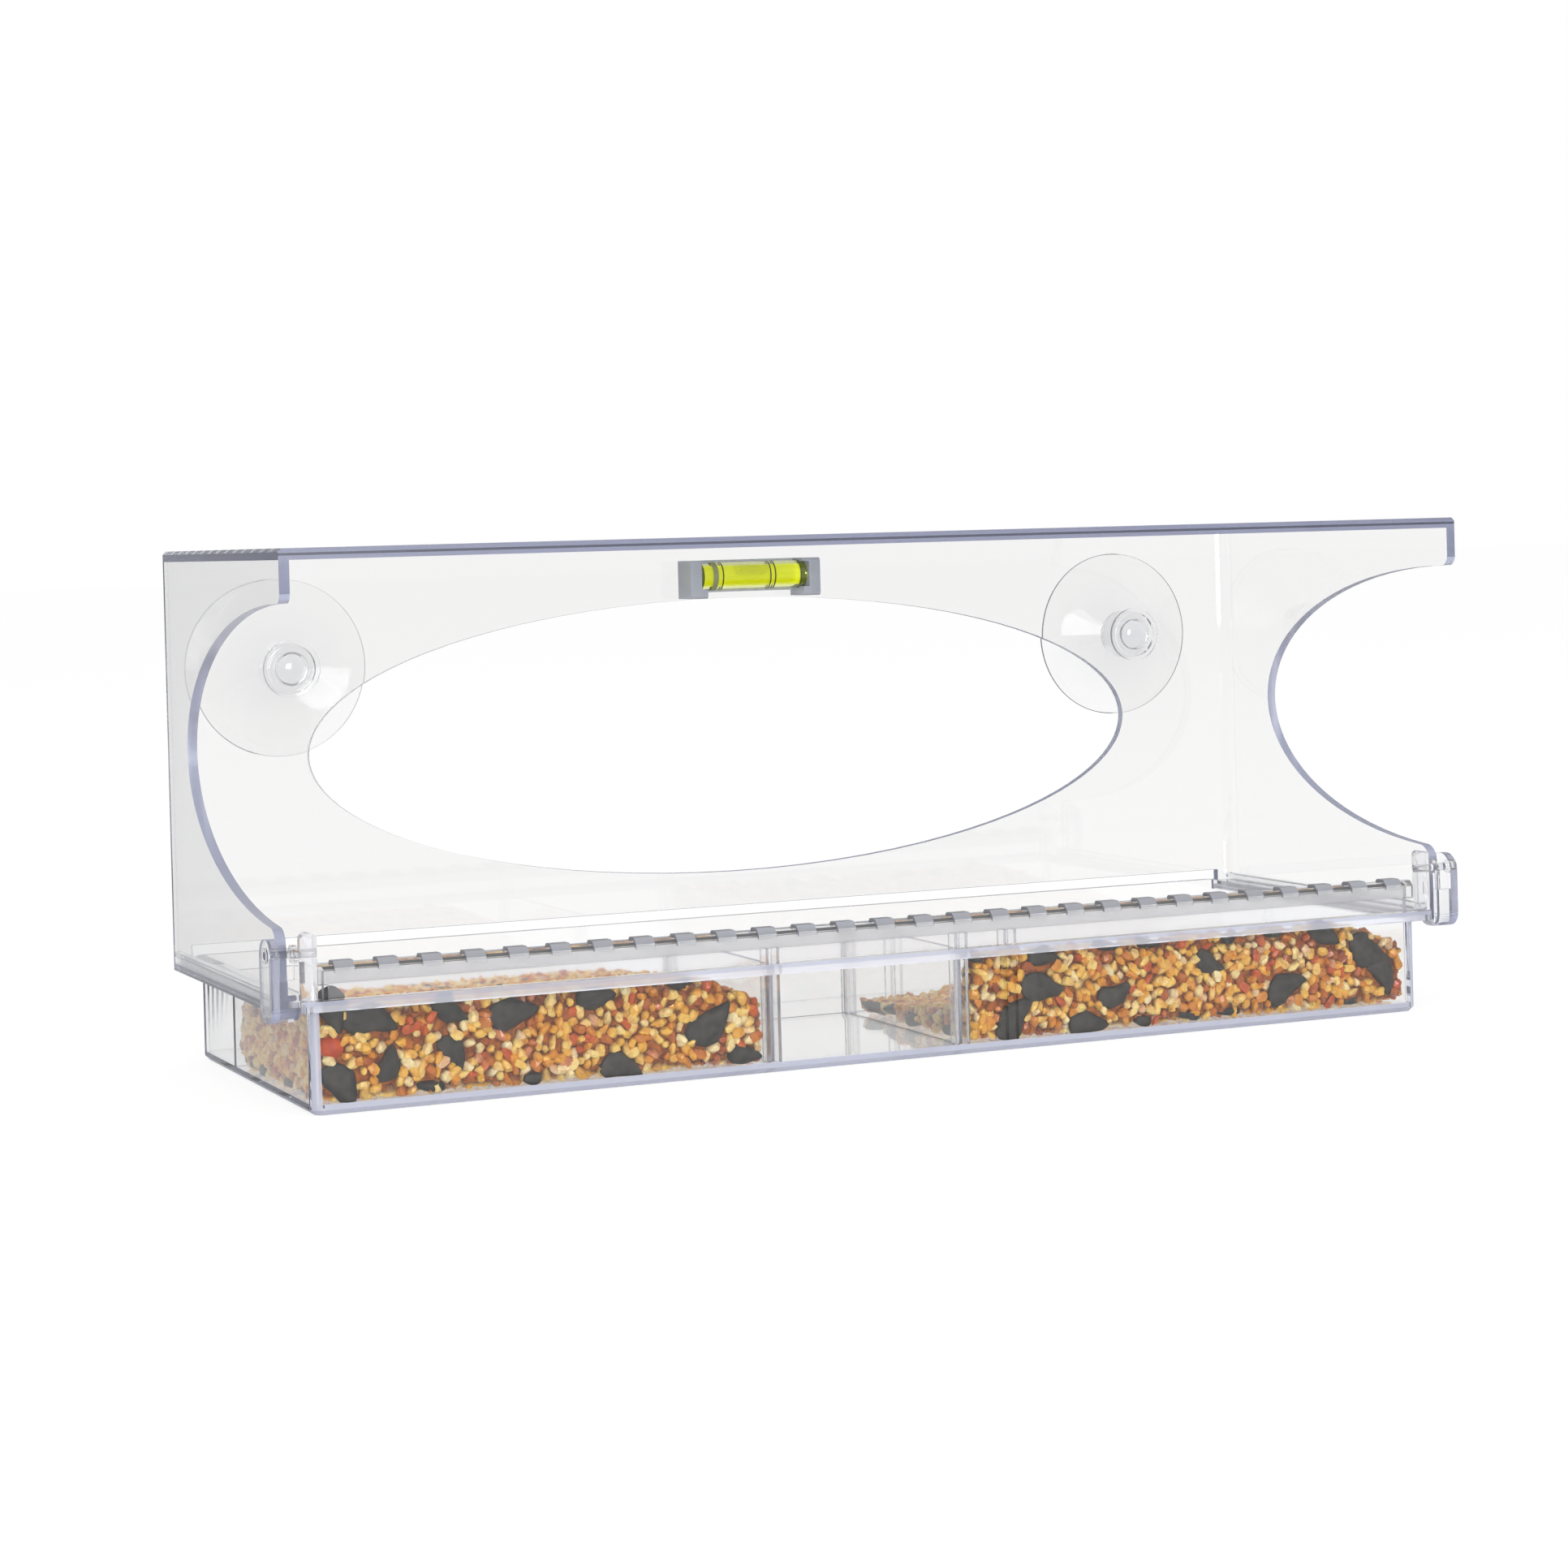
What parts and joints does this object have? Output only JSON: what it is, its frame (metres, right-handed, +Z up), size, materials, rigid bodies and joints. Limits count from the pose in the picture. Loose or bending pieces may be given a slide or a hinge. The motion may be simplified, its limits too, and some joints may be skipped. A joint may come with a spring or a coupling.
{
  "type": "window bird feeder",
  "caption": "Clear window feeder for birds: a housing on suction cups with a seed tray that slides out, lift-out dividers, corner latches and a spirit level.",
  "frame": {"origin": "under the middle of the whole feeder, on the surface that the tray's flat floor stands on", "axes": "+X along the width, to the right as seen from inside the room; +Y towards the window glass; +Z up"},
  "size_m": [0.3884, 0.151, 0.1565],
  "materials": {
    "clear_housing": "clear polished plastic",
    "clear_tray": "clear polished plastic",
    "clear_rail": "clear plastic, satin ribs",
    "clear_divider": "clear polished plastic",
    "clear_latch": "clear plastic",
    "latch_pin": "clear plastic",
    "suction_cup": "clear soft plastic",
    "level_bracket": "clear grey-blue plastic",
    "level_vial": "clear polished plastic",
    "level_plug": "clear plastic",
    "level_liquid": "yellow-green liquid",
    "level_bubble": "clear bubble"
  },
  "bodies": {
    "housing": {"housing": "clear_housing", "suction_cup_left": "suction_cup", "suction_cup_right": "suction_cup", "level_bracket": "level_bracket", "level_vial": "level_vial", "level_plug": "level_plug", "level_liquid": "level_liquid"},
    "tray": {"seed_tray": "clear_tray", "perch_rail": "clear_rail", "latch_pin_left": "latch_pin", "latch_pin_right": "latch_pin"},
    "latch_left": {"corner_latch_left": "clear_latch"},
    "latch_right": {"corner_latch_right": "clear_latch"},
    "divider_left": {"divider_left": "clear_divider"},
    "divider_right": {"divider_right": "clear_divider"},
    "bubble": {"level_bubble": "level_bubble"}
  },
  "joints": [
    {"name": "tray_slide", "type": "slide", "parent": "housing", "child": "tray", "axis": [0, -1, 0], "range_m": [0, 0.12]},
    {"name": "latch_left_turn", "type": "hinge", "parent": "tray", "child": "latch_left", "pos_m": [-0.19, -0.0642, 0.0455], "axis": [-1, 0, 0], "range_deg": [0, 100]},
    {"name": "latch_right_turn", "type": "hinge", "parent": "tray", "child": "latch_right", "pos_m": [0.19, -0.0642, 0.0455], "axis": [-1, 0, 0], "range_deg": [0, 100]},
    {"name": "divider_left_lift", "type": "slide", "parent": "tray", "child": "divider_left", "axis": [0, 0, 1], "range_m": [0, 0.04]},
    {"name": "divider_right_lift", "type": "slide", "parent": "tray", "child": "divider_right", "axis": [0, 0, 1], "range_m": [0, 0.04]},
    {"name": "bubble_travel", "type": "slide", "parent": "housing", "child": "bubble", "axis": [1, 0, 0], "range_m": [-0.0045, 0.0045]}
  ]
}
